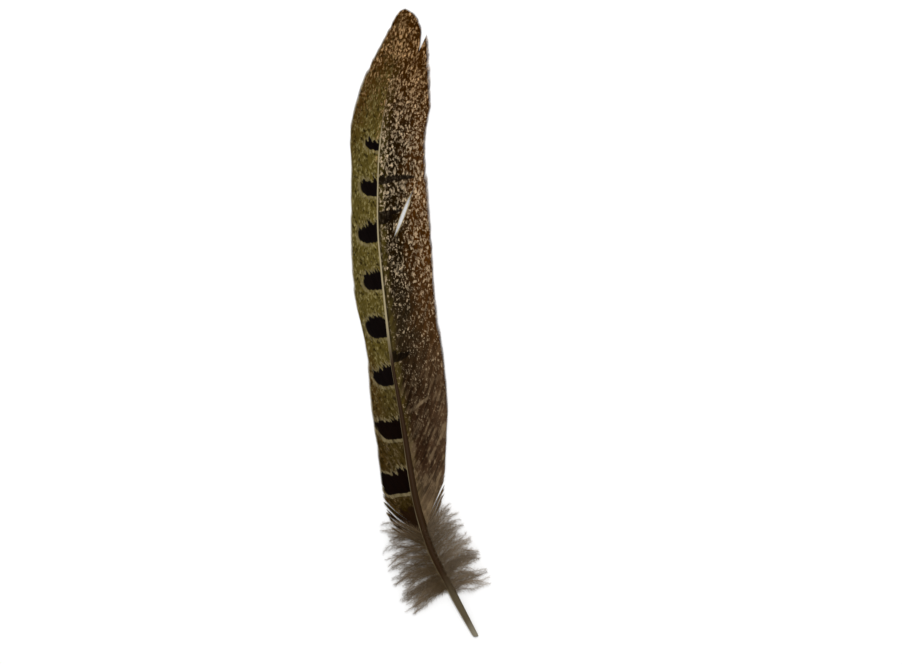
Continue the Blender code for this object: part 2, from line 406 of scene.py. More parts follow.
class GeometryTree:
    """A geometry node tree with named inputs, which makes one plain mesh from a start mesh."""

    def __init__(self, name, **inputs):
        self.tree = bpy.data.node_groups.new(name, "GeometryNodeTree")
        face = self.tree.interface
        face.new_socket("Geometry", in_out="OUTPUT", socket_type="NodeSocketGeometry")
        face.new_socket("Geometry", in_out="INPUT", socket_type="NodeSocketGeometry")
        self.identifiers = {}
        for kind, labels in inputs.items():
            for label in labels:
                socket = face.new_socket(label, in_out="INPUT", socket_type="NodeSocket" + kind)
                self.identifiers[label] = socket.identifier
        self.nodes = Nodes(self.tree)
        self.inputs = self.nodes.add("NodeGroupInput")

    def attribute(self, name, vector=True):
        settings = {"data_type": "FLOAT_VECTOR" if vector else "FLOAT"}
        return self.nodes.add("GeometryNodeInputNamedAttribute", settings, {"Name": name})[0]

    def store(self, geometry, name, value, vector=False):
        settings = {"data_type": "FLOAT_VECTOR" if vector else "FLOAT", "domain": "POINT"}
        sockets = {"Geometry": geometry, "Name": name, "Value": value}
        return self.nodes.add("GeometryNodeStoreNamedAttribute", settings, sockets)[0]

    def bezier(self, name, count, part):
        """Point at a part of the curve whose control points are the vectors of that name."""
        points = [self.attribute(f"{name}_{i}") for i in range(count)]
        while len(points) > 1:
            points = [a * (1 - part) + b * part for a, b in zip(points, points[1:])]
        return points[0]

    def strands(self, seeds, count):
        """A curve for each seed point, with its part stored, and the seed's course at each part."""
        add = self.nodes.add
        line = add("GeometryNodeCurvePrimitiveLine", {}, {"End": (0.0, 0.0, 1.0)})[0]
        line = add("GeometryNodeResampleCurve", {}, {"Curve": line, "Count": count})[0]
        copies = add("GeometryNodeInstanceOnPoints", {}, {"Points": seeds, "Instance": line})[0]
        curves = add("GeometryNodeRealizeInstances", {}, {"Geometry": copies})[0]
        factor = add("GeometryNodeSplineParameter")["Factor"]
        curves = self.store(curves, "part", factor)
        part = self.attribute("part", vector=False)
        return curves, part, self.bezier("course", 4, part)

    def shape(self, label):
        """Shape of the object that an input names."""
        sockets = {"Object": self.inputs[label]}
        return self.nodes.add("GeometryNodeObjectInfo", {}, sockets)["Geometry"]

    def lay(self, curves, course):
        """The curves along their courses, with their sections upright."""
        sockets = {"Geometry": curves, "Position": course}
        curves = self.nodes.add("GeometryNodeSetPosition", {}, sockets)[0]
        return self.nodes.add("GeometryNodeSetCurveNormal", {"mode": "Z_UP"}, {"Curve": curves})[0]

    def sweep(self, curves, section, scale):
        sockets = {"Curve": curves, "Profile Curve": section, "Scale": scale, "Fill Caps": True}
        return self.nodes.add("GeometryNodeCurveToMesh", {}, sockets)[0]

    def finish(self, geometry, material):
        geometry = self.nodes.add("GeometryNodeRealizeInstances", {}, {"Geometry": geometry})[0]
        sockets = {"Geometry": geometry, "Material": material}
        geometry = self.nodes.add("GeometryNodeSetMaterial", {}, sockets)[0]
        self.nodes.add("NodeGroupOutput", {}, {"Geometry": geometry})

    def run(self, start, name, values):
        """Plain mesh object that the tree makes from the start mesh with these input values."""
        holder = link_object(name + "_seeds", start)
        modifier = holder.modifiers.new(name, "NODES")
        modifier.node_group = self.tree
        for label, value in values.items():
            modifier[self.identifiers[label]] = value
        graph = bpy.context.evaluated_depsgraph_get()
        mesh = bpy.data.meshes.new_from_object(holder.evaluated_get(graph))
        if not mesh.polygons:
            raise RuntimeError(name + " came out empty")
        mesh.name = name
        for used_up in [a.name for a in mesh.attributes if a.name.startswith(SEED_ONLY)]:
            mesh.attributes.remove(mesh.attributes[used_up])
        holder.modifiers.remove(modifier)
        bpy.data.objects.remove(holder)
        bpy.data.meshes.remove(start)
        return link_object(name, mesh)


def seed_mesh(name, fields):
    """A mesh of loose points that holds the given arrays as attributes."""
    mesh = bpy.data.meshes.new(name)
    mesh.vertices.add(len(next(iter(fields.values()))))
    for field, values in fields.items():
        vector = values.ndim == 2
        kind = "FLOAT_VECTOR" if vector else "FLOAT"
        made = mesh.attributes.new(field, kind, "POINT")
        made.data.foreach_set("vector" if vector else "value", values.astype(np.float32).ravel())
    return mesh


def section_object(name, points):
    """A closed curve that strands are swept with: x across the strand, y downwards."""
    data = bpy.data.curves.new(name, "CURVE")
    data.dimensions = "3D"
    spline = data.splines.new("POLY")
    spline.points.add(len(points) - 1)
    for point, (x, y) in zip(spline.points, points):
        point.co = (x, y, 0, 1)
    spline.use_cyclic_u = True
    return link_object(name, data)


def round_corners(sides):
    """Corners of a regular shape one metre in radius."""
    turns = [math.tau * i / sides for i in range(sides)]
    return [(math.cos(turn), math.sin(turn)) for turn in turns]


def in_mm(place, third):
    """(along, across) in millimetres, with a third number that the material reads."""
    return np.column_stack([place[:, 0] / MM, np.abs(place[:, 1]) / MM, third])


def skin(bm, rings):
    """Joins a run of sections by faces, all but the two ends."""
    for first, second in zip(rings, rings[1:]):
        for i in range(len(first)):
            j = (i + 1) % len(first)
            bm.faces.new((first[i], first[j], second[j], second[i]))


def closed_mesh(bm, name):
    """Mesh of the closed shape in bm, which is used up, with its faces turned outwards."""
    bmesh.ops.recalc_face_normals(bm, faces=bm.faces)
    mesh = bpy.data.meshes.new(name)
    bm.to_mesh(mesh)
    bm.free()
    return mesh


def numbered(name, values):
    """Attributes NAME_0, NAME_1 and so on, one for each control of a curve."""
    return {f"{name}_{i}": value for i, value in enumerate(values)}


# Vanes

BARB_ROOF = [(-1.3, -0.25), (-0.3, 0.3), (0.0, 0.62), (0.3, 0.36), (1.3, 0.12), (0.0, -0.3)]
SPLIT = {LEFT: (0.99, 0.965), RIGHT: (0.992, 0.975)}  # where a narrow and a deep split begin
DEEP_EVERY = 4
SLIT_ANGLE = math.radians(22)
SLIT_PART, SLIT_HALF_PART = 0.51, 0.2
WIDEST_BARB = 0.0003
TAPER_START, TIP_WIDTH = 0.93, 0.25
BARB_SEED = 11
LOOSE_BELOW, TIGHT_ABOVE = 0.0335, 0.041  # roots between which the vane closes
TIGHT_LOSS, LOOSE_LOSS = 0.006, 0.16  # part of its length that a barb may lack
LOOSE_SWING = 0.0012  # how far the end of a loose barb strays along the shaft
LOOSE_THINNING = 0.25
VANE_RIPPLE, TIGHT_RIPPLE, LOOSE_RIPPLE = 0.00012, 0.00003, 0.0004  # at the edge
RIPPLE_BARBS, TOOTH_BARBS = 5, 2  # neighbours over which these change
TOOTH_SMOOTH = 0.7  # the rest of a barb's tooth is its own chance
LOWEST = 0.6  # part of a vane's edge height below which no barb comes
SLIT_BARBS = 4  # barbs beside the slit over which their push falls off
WIDTH_STEP = 0.02  # part of a barb over which its direction is measured


def barb_tree():
    """Barbs as tapered strips, each along its own curve."""
    tree = GeometryTree(
        "Barbs",
        Object=["Section"],
        Int=["Points on a barb"],
        Float=["Taper start", "Tip width", "Slit part", "Slit half part"],
        Material=["Material"],
    )
    given = tree.inputs
    curves, part, course = tree.strands(given["Geometry"], given["Points on a barb"])
    opening = 1 - ((part - given["Slit part"]) / given["Slit half part"]) ** 2
    course = course + tree.attribute("spread") * opening.most(0.0)
    place = tree.bezier("place", 3, part)
    curves = tree.store(curves, "place", place, vector=True)
    cross, low, _ = tree.nodes.add("GeometryNodeInputPosition")[0].parts()
    section = tree.store(tree.shape("Section"), "cross", cross)
    section = tree.store(section, "low", low)
    width = tree.bezier("width", 3, part).parts()[0]
    ending = ((part - given["Taper start"]) / (1 - given["Taper start"])).most(0.0)
    scale = width * (1 - ending * (1 - given["Tip width"]))
    tree.finish(tree.sweep(tree.lay(curves, course), section, scale), given["Material"])
    return tree


def lock_fray(side, roots):
    """Part of its length that each barb keeps: the ones beside a split are shorter."""
    phase = (roots - LOCK_ROOTS[0]) / (LOCK_ROOTS[1] - LOCK_ROOTS[0]) * LOCKS
    nearest = np.round(phase)
    beside = 1 - np.minimum(2 * np.abs(phase - nearest), 1)
    narrow, deep = SPLIT[side]
    split = np.where(nearest % DEEP_EVERY == DEEP_EVERY - 1, deep, narrow)
    return 1 - (1 - split) * beside


def barb_widths(controls):
    """Half of the distance between neighbouring barbs, near the root, halfway and near the end."""
    count, widths = len(controls[0]), []
    for part in (WIDTH_STEP, 0.5, 1 - WIDTH_STEP):
        here = on_barb(controls, np.full(count, part))
        line = on_barb(controls, np.full(count, part + WIDTH_STEP)) - here
        line /= np.linalg.norm(line, axis=1)[:, None]
        step = np.gradient(here, axis=0)
        width = np.abs(step[:, 0] * line[:, 1] - step[:, 1] * line[:, 0]) / 2
        widths.append(np.minimum(width, WIDEST_BARB))
    low, mid, high = widths
    return low, 2 * mid - (low + high) / 2, high


def barb_seeds(side, sizes):
    """One point for each barb of a vane, with its course, place, width, chance and spread."""
    random = np.random.default_rng(BARB_SEED + side)
    roots = np.arange(FIRST_ROOT, LAST_ROOT, sizes.barb_spacing)
    count = len(roots)
    chance = random.random(count)
    controls = barb_controls(side, roots)
    loose = 1 - np.clip((roots - LOOSE_BELOW) / (TIGHT_ABOVE - LOOSE_BELOW), 0, 1)
    loss = (TIGHT_LOSS + LOOSE_LOSS * loose) * random.random(count)
    keep = lock_fray(side, roots) * (1 - loss)
    swing = LOOSE_SWING * loose * random.normal(size=count)
    ripple = VANE_RIPPLE * (smooth_noise(random, count, RIPPLE_BARBS) - 0.5)
    ripple += (TIGHT_RIPPLE + LOOSE_RIPPLE * loose) * random.normal(size=count)
    thirds = []
    for part in (0, 1 / 3, 2 / 3, 1):
        place = on_barb(controls, part * keep)
        height = vane_height(side, place[:, 0], place[:, 1]) + ripple * part
        place[:, 0] += swing * part**2
        height = np.maximum(height, EDGE_HEIGHT[side] * LOWEST)
        thirds.append(spot(place[:, 0], place[:, 1], height))
    widths = [width * (1 - LOOSE_THINNING * loose) for width in barb_widths(controls)]
    start, middle, _ = controls
    shared = smooth_noise(random, count, TOOTH_BARBS)
    tooth = np.clip(TOOTH_SMOOTH * shared + (1 - TOOTH_SMOOTH) * chance, 0, 1)
    places = [start, start + (middle - start) * keep[:, None], on_barb(controls, keep)]
    spread = np.zeros((count, 3))
    if side == RIGHT:
        steps = (roots - SLIT_ROOT) / sizes.barb_spacing
        push = np.sign(steps) * np.exp(-np.abs(steps) / SLIT_BARBS) * sizes.slit_width / 2
        forward = (spot(roots + MM, 0, 0) - spot(roots, 0, 0)) / MM
        spread = forward * push[:, None] / math.sin(SLIT_ANGLE)
    return seed_mesh(
        "barb_seeds",
        numbered("course", cubic_controls(thirds))
        | numbered("place", [in_mm(place, tooth) for place in places])
        | numbered("width", [np.repeat(width[:, None], 3, 1) for width in widths])
        | {"chance": chance, "root": roots / MM, "spread": spread},
    )


def make_vane(side, sizes, colours):
    section = section_object("barb_section", [(side * x, -y) for x, y in BARB_ROOF[::side]])
    name = SIDE_WORDS[side] + "_vane"
    values = {
        "Section": section,
        "Points on a barb": sizes.barb_points,
        "Taper start": TAPER_START,
        "Tip width": TIP_WIDTH,
        "Slit part": SLIT_PART,
        "Slit half part": SLIT_HALF_PART,
        "Material": vane_surface(side, colours),
    }
    vane = barb_tree().run(barb_seeds(side, sizes), name, values)
    bpy.data.objects.remove(section)
    dress(vane)


# Markings, all in millimetres along the shaft and across from it
ALONG_MM = 210.0  # the colour ramps run this far
# Middle of each black spot along the shaft, half its length, reach, squareness, slant of its end
SPOTS = [
    (160.4, 1.8, 4.6, 2.2, 0.1),
    (147.0, 2.8, 5.4, 2.4, 0.1),
    (132.8, 3.1, 6.3, 2.6, 0.0),
    (118.0, 3.2, 6.0, 2.4, 0.0),
    (103.0, 3.5, 6.7, 2.5, 0.1),
    (87.6, 3.1, 6.5, 2.6, 0.15),
    (71.0, 3.5, 8.2, 4.0, 0.2),
    (54.0, 3.6, 9.4, 5.0, 0.05),
]
BROWN_SPOT = (41.8, 3.3, 8.0, 2.2, 0.4)
# The same for the dark bars of the wide vane, which lean towards the tip
BARS = [
    (149.2, 1.5, 5.0, 3.0, 0.0),
    (149.4, 0.95, 11.5, 3.0, 0.0),
    (137.2, 2.1, 4.8, 1.8, 0.0),
    (138.6, 0.8, 8.0, 2.5, 0.0),
    (93.0, 1.7, 6.0, 2.0, 0.1),
]
BAR_LEAN = 0.14
CREASE_START, CREASE_LEAN = 73.9, 0.51  # a pale crease across the wide vane's barbs


def patch(along, across, jag, shape, inner=0.42):
    """1 inside a marking that starts at the shaft, fading to 0 over its edge."""
    middle, half, reach, squareness, slant = shape
    u = (along - middle - jag) / half
    v = across / reach / (u * slant + 1) - inner
    v = (v / (1 - inner)).most(v * -0.55)
    return (abs(u) ** squareness + abs(v) ** squareness).step(1.18, 0.86)


def most_of(masks):
    total = masks[0]
    for mask in masks[1:]:
        total = total.most(mask)
    return total


def along_curve(along, points):
    """Number that changes along the shaft, straight between (millimetres, number) pairs."""
    scaled = [(mm / ALONG_MM, number) for mm, number in points]
    value = {"Value": along / ALONG_MM}
    return along.nodes.add("ShaderNodeFloatCurve", {"curve": scaled}, value)[0]


def strokes(along, across, lean, length, width, seed):
    """Scattered short strokes: distance from the middle of one, and a number for each."""
    nodes = along.nodes
    lean = math.radians(lean)
    u = across * math.cos(lean) + along * math.sin(lean)
    v = along * math.cos(lean) - across * math.sin(lean)
    cells = nodes.vector(u / length, v / width, seed)
    bend = nodes.noise(cells, 0.9, detail=1.0) - 0.5
    cells = cells + nodes.vector(bend * 1.3, bend * -2.4)
    found = nodes.add("ShaderNodeTexVoronoi", {}, {"Vector": cells, "Scale": 1.0})
    rough = nodes.noise(cells, 3.2, detail=1.0) - 0.5
    return found["Distance"] + rough * 0.35, found["Color"].parts()[0]


def flecks(ragged, across, share):
    """Light flecks, fewer and smaller where the share is below 1."""
    nodes = ragged.nodes
    patches = nodes.noise(nodes.vector(across * 0.3, ragged * 0.16, 4.0), 1.0) - 0.5
    thin = (1 - share) * 0.25 - patches * 0.3
    light, pick = strokes(ragged, across, 113, 1.0, 0.62, seed=1.0)
    light = (light + thin).step(0.455, 0.32) * (pick * 0.6 + 0.42)
    fine, pick = strokes(ragged, across, 24, 1.0, 0.42, seed=5.0)
    fine = (fine + thin).step(0.42, 0.22) * pick.step(0.25, 0.7)
    return light.most(fine * 0.5)


def vane_surface(side, colours):
    """Barbs with markings, each barb a little lighter or darker than the next and darkened along
    its edges by painted shade.
    """
    material, nodes, shader = new_material(SIDE_WORDS[side] + "_vane")
    along, across, tooth = nodes.read("place", "Vector").parts()
    part, chance, cross = nodes.read("part"), nodes.read("chance"), nodes.read("cross")
    ragged = along + (chance - 0.5) * 0.6
    root = nodes.read("root")
    course = nodes.vector(root * 0.6, part * 4.0)
    streak = nodes.noise(course, 1.0, detail=3.0, roughness=0.65)
    place = (along, ragged, across, tooth, streak)
    if side == LEFT:
        color, dark = narrow_paint(nodes, colours, part, *place)
    else:
        color, dark = wide_paint(nodes, colours, *place)
        color = nodes.layers(color, (colours.rim, slit_edge(root, part) * 0.7))
    under = nodes.read("low").step(0.0, 0.25)
    color = nodes.layers(color, (colours.underside, under * 0.45))
    # Each barb's own tone and streaks, with painted shade darkening its edges where it meets its
    # neighbours.
    barb = (chance - 0.5) * 0.34 + (streak.step(0.3, 0.7) - 0.5) * 0.6 + abs(cross) * -0.2 + 1.1
    weave = nodes.noise(nodes.vector(across * 9.0, along * 9.0, cross * 2.0), 1.0, detail=2.0)
    height = weave * 0.5 - abs(cross) * 0.5
    relief = {"Strength": 0.3, "Distance": 0.00003, "Height": height}
    bump = nodes.add("ShaderNodeBump", {}, relief)
    feed(
        nodes,
        shader,
        Base_Color=color * barb,
        Roughness=0.66 - dark * 0.2,
        Normal=bump["Normal"],
        Specular_IOR_Level=0.02,
    )
    return material


def slit_edge(root, part):
    """1 on the barbs on both sides of the open slit."""
    near = abs(root - SLIT_ROOT / MM).step(1.3, 0.5)
    return near * abs(part - SLIT_PART).step(SLIT_HALF_PART, SLIT_HALF_PART * 0.6)


def lower_share(along):
    """1 in the dull lowest part of the vanes, 0 in the bright middle."""
    return along_curve(along, [(0, 1), (45, 1), (68, 0.75), (85, 0.35), (100, 0), (210, 0)])


def tip_share(along, across, tooth):
    """1 at the brown tip."""
    edge = along + (tooth - 0.5) * 5.0 + across * 0.5
    return along_curve(edge, [(0, 0), (160, 0), (176, 0.45), (190, 0.95), (210, 1)])


def narrow_paint(nodes, colours, part, along, ragged, across, tooth, streak):
    """Olive with fine specks, a row of black spots beside the shaft and a pale rim."""
    lower, tip = lower_share(along), tip_share(along, across, tooth)
    rust_run = [(0, 0.3), (70, 0.3), (88, 0.75), (98, 0.25), (108, 0), (150, 0), (172, 0.6)]
    rust = part.step(0.45, 0.95) * along_curve(along, [*rust_run, (210, 0.2)])
    light, pick = strokes(ragged, across, 115, 1.0, 0.5, seed=3.0)
    light = light.step(0.55, 0.2) * pick.step(-0.2, 0.7)
    pale = nodes.layers(colours.olive_fleck, (colours.dull_fleck, lower))
    dark, pick = strokes(ragged, across, 100, 1.15, 0.95, seed=8.0)
    dark = dark.step(0.46, 0.2) * pick.step(0.3, 0.5)
    beside_run = [(0, 0), (150, 0), (157, 0.7), (170, 0.8), (210, 1)]
    flecked = tip.most(across.step(3.5, 0.5) * along_curve(along, beside_run))
    rim_run = [(0, 0.2), (60, 0.35), (95, 0.8), (150, 0.7), (175, 0.35), (210, 0.2)]
    rim = (part + (tooth - 0.5) * 0.03).step(0.93, 0.975) * along_curve(along, rim_run)
    ground = nodes.layers(
        colours.olive,
        (colours.umber, lower),
        (colours.tip_brown, tip),
        (colours.rust, rust),
        (pale, light * (0.75 - tip * 0.6 - lower * 0.35)),
        (colours.speck, dark * 0.9),
        (colours.tip_fleck, flecks(ragged, across, flecked) * flecked),
        (colours.speck, streak.step(0.48, 0.6) * (0.2 + lower * 0.7)),
        (colours.dull_fleck, streak.step(0.45, 0.33) * lower * 0.8),
        (colours.rim, rim),
    )
    jags = []
    for shape in SPOTS:
        upper = (along - shape[0]).step(-0.6, 0.8)
        jags.append((tooth - 0.6) * 2.6 * upper + (tooth - 0.5) * 0.5)
    halos = [(middle, half + 1.0, reach + 0.9, *rest) for middle, half, reach, *rest in SPOTS]
    spots, halo = [
        most_of([patch(along, across, jag, shape) for jag, shape in zip(jags, shapes)])
        for shapes in (SPOTS, halos)
    ]
    brown = patch(along, across, (tooth - 0.5) * 3.4, BROWN_SPOT)
    ink = nodes.layers(colours.brown_ink, (colours.ink, along.step(72.0, 90.0)))
    color = nodes.layers(
        ground,
        (colours.rim, halo * (streak.step(0.65, 0.35) * 0.4 + lower * 0.1)),
        (colours.brown_spot, brown * 0.9),
        (ink, spots),
    )
    return color, spots


def wide_paint(nodes, colours, along, ragged, across, tooth, streak):
    """Dark brown with bright flecks, redder towards the margin, with dark bars by the shaft and a
    painted shadow right beside it.
    """
    lower, tip = lower_share(along), tip_share(along, across, tooth)
    wander = nodes.noise(nodes.vector(across * 0.4, along * 0.2), 1.0, detail=3.0) * 12.0 - 6.0
    margin = (across + wander).step(5.0, 15.0)
    strip_run = [(0, 0.3), (60, 0.4), (85, 0.75), (130, 0.85), (150, 0.6), (175, 0.3), (210, 0)]
    strip = (across + (tooth - 0.5) * 1.8).step(3.2, 0.8) * along_curve(along, strip_run)
    ground = nodes.layers(
        colours.dark_brown,
        (colours.rust, margin * (along.step(75.0, 125.0) * 0.6 + 0.35)),
        (colours.dusk, lower * (margin * 0.4 + 0.5)),
        (colours.tip_brown, tip),
        (colours.olive, strip * 0.75),
    )
    strength_run = [(0, 0.3), (60, 0.35), (80, 0.45), (103, 0.45), (118, 0.8), (138, 0.85)]
    strength_run += [(152, 1), (195, 1), (203, 0.9), (210, 0.8)]
    strength = along_curve(along, strength_run)
    strength = strength + margin * along.step(85.0, 110.0) * along.step(155.0, 135.0) * 0.2
    fleck = nodes.layers(
        colours.fleck, (colours.tip_fleck, (margin * 0.35).most(tip)), (colours.dull_fleck, lower)
    )
    blotch = nodes.noise(nodes.vector(across * 0.35, along * 0.2, 7.0), 1.0).step(0.42, 0.58)
    smudge = (streak * 0.6 + blotch * 0.12).step(0.34, 0.46) * lower * (margin * 0.3 + 0.45)
    dull_run = [(0, 0.5), (44, 0.5), (58, 0), (85, 0), (100, 0.07), (112, 0.05), (125, 0), (210, 0)]
    crease = abs(along - across * CREASE_LEAN - CREASE_START).step(0.8, 0.15)
    crease = crease * across.step(2.0, 3.5) * across.step(10.5, 8.5)
    lean = along - across * BAR_LEAN
    bars = []
    for shape in BARS:
        upper = (lean - shape[0]).step(-0.5, 0.5)
        jag = (tooth - 0.7) * upper * shape[1] + (tooth - 0.5) * 0.3
        bars.append(patch(lean, across, jag, shape, 0.3))
    # Painted shadow: a dark band on the wide vane right beside the shaft, higher up.
    shaft_shadow_run = [(0, 0), (90, 0), (100, 0.8), (135, 0.7), (145, 0.2), (210, 0)]
    shaft_shadow = across.step(1.3, 0.5) * along_curve(along, shaft_shadow_run)
    dark = most_of([*bars, shaft_shadow])
    color = nodes.layers(
        ground,
        (fleck, flecks(ragged, across, strength) * (strength * 0.6 + 0.4)),
        (colours.dull_fleck, smudge),
        (colours.bar_and_shade, streak.step(0.5, 0.34) * lower * 0.4),
        (colours.dull_fleck, margin * lower * 0.25 + along_curve(along, dull_run)),
        (colours.dull_fleck, crease * (tooth * 0.6 + 0.25)),
        (colours.bar_and_shade, dark * 0.92),
    )
    return color, dark


# Shaft

SHAFT_SIDES = 16
SHAFT_SECTIONS = 120
SHAFT_NARROWING = 0.97  # its width, as part of its height
QUILL_RIM = [(0.0, 0.82), (0.00025, 0.94), (0.0007, 1.0)]  # (along, part of the radius)
QUILL_PIT = [(0.0022, 0.2), (0.0016, 0.48), (0.0003, 0.6)]
QUILL_SLANT, SLANT_END = -math.tan(math.radians(24)), 0.004  # of the quill's blunt end
PIT_SLANT = 0.8 * QUILL_SLANT
RACHIS_TAPER = [(0.08, 1), (0.11, 0.84), (0.16, 0.66), (0.2036, 0.1)]  # to the shaft's end
FINEST_RADIUS = 0.00009
GROOVE_START, GROOVE_RUN = 0.03, 0.015
GROOVE_SPREAD = 0.45  # part of the shaft's width
RINGS_START = 0.002


def shaft_rings():
    """(along, radius) of each section, from the quill's rim to the tip."""
    rings = [(along, through(SHAFT_RADIUS, along) * share) for along, share in QUILL_RIM]
    places, shares = zip(*RACHIS_TAPER)
    for along in np.linspace(RINGS_START, places[-1], SHAFT_SECTIONS):
        radius = through(SHAFT_RADIUS, along) * np.interp(along, places, shares)
        rings.append((along, max(radius, FINEST_RADIUS)))
    return rings


def make_shaft(sizes, colours):
    """The quill and the shaft, with a groove along its underside and a pit in the quill's end."""
    bm = bmesh.new()
    layer = bm.verts.layers.float_vector.new("place")

    def section(along, radius, slant):
        turn = heading(along)
        across = Vector((math.cos(turn), -math.sin(turn), 0))
        forward = Vector((math.sin(turn), math.cos(turn), 0))
        centre = Vector(spot(along, 0, shaft_height(along)))
        groove = sizes.groove_depth * np.clip((along - GROOVE_START) / GROOVE_RUN, 0, 1)
        corners = []
        for up, side in round_corners(SHAFT_SIDES):
            under = math.exp(-((side / GROOVE_SPREAD) ** 2)) if up < 0 else 0
            rise = up * FLAT_UNDER * (1 - groove * under)
            point = centre + across * (radius * side * SHAFT_NARROWING)
            point += Vector((0, 0, radius * rise)) + forward * (radius * side * slant)
            corner = bm.verts.new(point)
            corner[layer] = (along / MM, side, up)
            corners.append(corner)
        return corners

    rings = [
        section(along, through(SHAFT_RADIUS, along) * share, PIT_SLANT)
        for along, share in QUILL_PIT
    ]
    for along, radius in shaft_rings():
        rings.append(section(along, radius, QUILL_SLANT * max(0, 1 - along / SLANT_END)))
    skin(bm, rings)
    bm.faces.new(rings[0])
    bm.faces.new(rings[-1])
    mesh = closed_mesh(bm, "shaft")
    mesh.shade_smooth()
    mesh.materials.append(shaft_surface(colours))
    dress(link_object("shaft", mesh))


def shaft_surface(colours):
    """Horn: grey-brown quill, dark brown shaft with a painted highlight down its left side and
    painted shade down its right side higher up, pale higher up and below.
    """
    material, nodes, shader = new_material("horn")
    along, sideways, up = nodes.read("place", "Vector").parts()
    # Painted highlight: a pale band down the shaft's left side, where light catches the rounded
    # horn.
    left_highlight_run = [(0, 0.4), (12, 0.5), (20, 0.9), (38, 0.9), (46, 0.3), (58, 0.7), (68, 0.3)]
    pale = (sideways * -1.0).step(0.62, 0.85) * along_curve(along, [*left_highlight_run, (92, 0.9), (210, 0)])
    # Painted shade: the shaft's right side is darkened higher up, in the colour of the dark bars.
    shade_run = [(0, 0), (95, 0.3), (110, 0.9), (140, 0.8), (165, 0.2), (210, 0)]
    color = nodes.layers(
        colours.quill_end,
        (colours.quill, along.step(0.5, 7.0)),
        (colours.dark_horn, along.step(10.0, 25.0)),
        (colours.pale_horn, along.step(90.0, 106.0)),
        (colours.tip_brown, along.step(160.0, 176.0)),
        (colours.pale_horn, pale),
        (colours.bar_and_shade, sideways.step(0.4, 0.85) * along_curve(along, shade_run)),
        (colours.pale_horn, up.step(-0.3, -0.9) * 0.4),
    )
    grain = nodes.noise(nodes.vector(along * 0.25, sideways * 4.0, up * 4.0), 1.0, detail=4.0)
    relief = {"Strength": 0.25, "Distance": 0.00005, "Height": grain}
    bump = nodes.add("ShaderNodeBump", {}, relief)
    feed(
        nodes,
        shader,
        Base_Color=color * (grain * 0.5 + 0.75),
        Roughness=grain * 0.25 + 0.32,
        Normal=bump["Normal"],
        Specular_IOR_Level=0.08,
    )
    return material


# Down

DOWN_ROOTS = (0.0155, 0.0362)
DOWN_LENGTH = {LEFT: (0.0105, 0.0165), RIGHT: (0.0095, 0.0145)}
DOWN_SPREAD = (math.radians(86), math.radians(44))  # angle to the shaft, lowest and highest stem
DOWN_STRAY = math.radians(9)
DOWN_CURL = math.radians(34)
OUTER_TRIM = 0.08  # the outer stems are up to this part shorter
DOWN_RISE = 0.0012
DOWN_TIP_HEIGHT = (0.0004, 0.0024)
DOWN_SWAY = (0.0003, 0.0007)
COURSE_STEPS = 30  # a multiple of three, because a course has four controls
DOWN_SEED, FIBRE_SEED = 31, 7
STEM_POINTS, STEM_SIDES, STEM_RADIUS = 24, 5, 0.00005
STEM_TAPER = 0.75
STEM_WAVES, STEM_PHASES = 9.0, 40.0  # radians along a stem, and between the stems
FIBRE_LENGTH = (0.0010, 0.0025)
FIBRE_FALL = 0.6  # fibres at a stem's end are this part shorter
FIBRE_TILT = (-1.1, -0.45)
FIBRE_SECTIONS = [(0.0, 0.0, 0.017), (0.5, 0.1, 0.014)]  # (length, lift, radius) for one metre
FIBRE_TIP = (1.0, 0.36, 0.0)
REST_HEIGHT = 0.0003  # fibres that come lower than this are pressed flat on the surface
PALENESS = {LEFT: 0.05, RIGHT: 0.4}


def down_seeds(side, sizes):
    """One point for each stem of down on a side, with its course, sway and chance."""
    random = np.random.default_rng(DOWN_SEED + side)
    count = sizes.down_stems
    share = np.sort(random.random(count))
    roots = DOWN_ROOTS[0] + share * (DOWN_ROOTS[1] - DOWN_ROOTS[0])
    shortest, longest = DOWN_LENGTH[side]
    length = shortest + (longest - shortest) * random.random(count) ** 0.7
    outward = share if side == LEFT else 1 - share  # the shaft's bow brings these further out
    length *= 1 - OUTER_TRIM * outward
    spread = DOWN_SPREAD[0] + share * (DOWN_SPREAD[1] - DOWN_SPREAD[0])
    spread += DOWN_STRAY * random.normal(size=count)
    curl = DOWN_CURL * (0.5 + random.random(count))  # half as much to half as much again
    low, high = DOWN_TIP_HEIGHT
    end_height = low + (high - low) * random.random(count)
    start_height = shaft_height(roots)
    at = spot(roots, 0, 0)
    thirds = []
    for step in range(COURSE_STEPS + 1):
        t = step / COURSE_STEPS
        if step % (COURSE_STEPS // 3) == 0:
            height = start_height + (end_height - start_height) * t
            height += DOWN_RISE * math.sin(math.pi * t)
            thirds.append(np.column_stack([at[:, 0], at[:, 1], height]))
        turn = heading(roots) + side * (spread + curl * t)
        forward = np.column_stack([np.sin(turn), np.cos(turn), 0 * turn])
        at = at + forward * (length / COURSE_STEPS)[:, None]
    sway = np.column_stack([-np.cos(turn), np.sin(turn), 0.6 * random.normal(size=count)])
    chance = random.random(count)
    least, most = DOWN_SWAY
    sway *= (least + (most - least) * random.random(count))[:, None]
    courses = numbered("course", cubic_controls(thirds))
    return seed_mesh("down_seeds", courses | {"root": roots / MM, "sway": sway, "chance": chance})


def fibre_object():
    """One fibre of down, a thin curved spike one metre long that the tree scales."""
    bm = bmesh.new()
    rings = []
    for length, lift, radius in FIBRE_SECTIONS:
        corners = [(length, lift + radius * y, radius * z) for y, z in round_corners(3)]
        rings.append([bm.verts.new(corner) for corner in corners])
    tip = bm.verts.new(FIBRE_TIP)
    skin(bm, rings)
    for i in range(3):
        bm.faces.new((rings[-1][i], rings[-1][(i + 1) % 3], tip))
    bm.faces.new(rings[0])
    return link_object("fibre", closed_mesh(bm, "fibre"))


